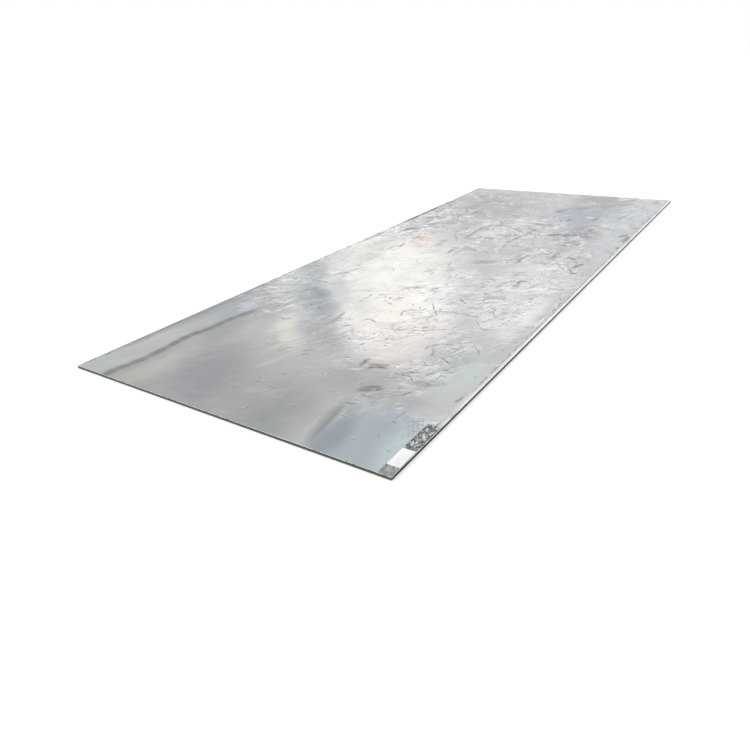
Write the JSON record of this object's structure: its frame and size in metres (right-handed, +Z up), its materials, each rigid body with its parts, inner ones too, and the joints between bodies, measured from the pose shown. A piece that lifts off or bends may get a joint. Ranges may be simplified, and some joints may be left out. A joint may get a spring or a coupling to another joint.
{
  "type": "steel plate",
  "caption": "Flat rectangular hot-rolled steel plate with sheared edges and a blank paper stock tag beside one corner; raw stock for cutting, bending and welding.",
  "frame": {"origin": "middle of the underside", "axes": "+X along the plate's length, away from the end with the tag; +Y across it, away from the side with the tag; +Z up, out of the top face"},
  "size_m": [3.048, 1.219, 0.0097],
  "materials": {
    "mill_scale_steel": "satin",
    "tag_paper": "matte"
  },
  "bodies": {
    "root": {"steel_plate": "mill_scale_steel", "paper_tag": "tag_paper"}
  },
  "joints": []
}
